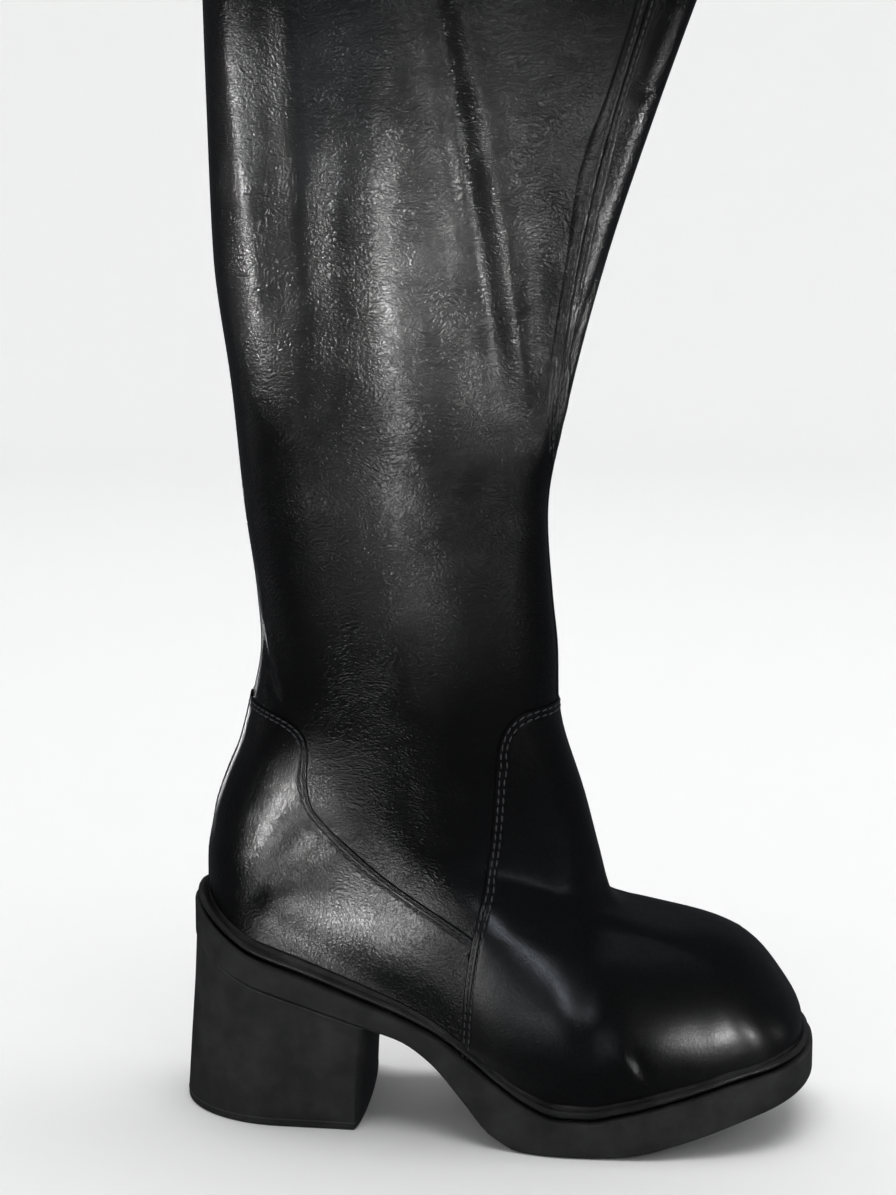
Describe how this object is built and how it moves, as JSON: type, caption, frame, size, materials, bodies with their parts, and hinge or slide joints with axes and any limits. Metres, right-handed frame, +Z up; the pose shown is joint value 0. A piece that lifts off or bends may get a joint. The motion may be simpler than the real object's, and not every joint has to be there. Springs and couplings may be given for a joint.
{
  "type": "knee-high platform boot",
  "caption": "Knee-high black leather boot for the right foot, with a square toe, a thick platform sole and a block heel.",
  "frame": {"origin": "on the floor, at the middle of the boot's bounding box seen from above", "axes": "+X from the heel to the toe, +Y towards the boot's inner side, +Z up the shaft; the outer side faces -Y"},
  "size_m": [0.2745, 0.102, 0.4957],
  "materials": {
    "upper_leather": "glossy, pebbled grain",
    "counter_leather": "glossy, pebbled grain",
    "vamp_leather": "glossy, nearly smooth",
    "welt_rubber": "satin",
    "outsole_rubber": "matte",
    "heel_rubber": "matte",
    "top_lift_rubber": "matte",
    "insole_lining": "matte"
  },
  "bodies": {
    "root": {"upper": "upper_leather", "counter": "counter_leather", "vamp": "vamp_leather", "welt": "welt_rubber", "outsole": "outsole_rubber", "heel": "heel_rubber", "top_lift": "top_lift_rubber", "insole": "insole_lining"}
  },
  "joints": []
}
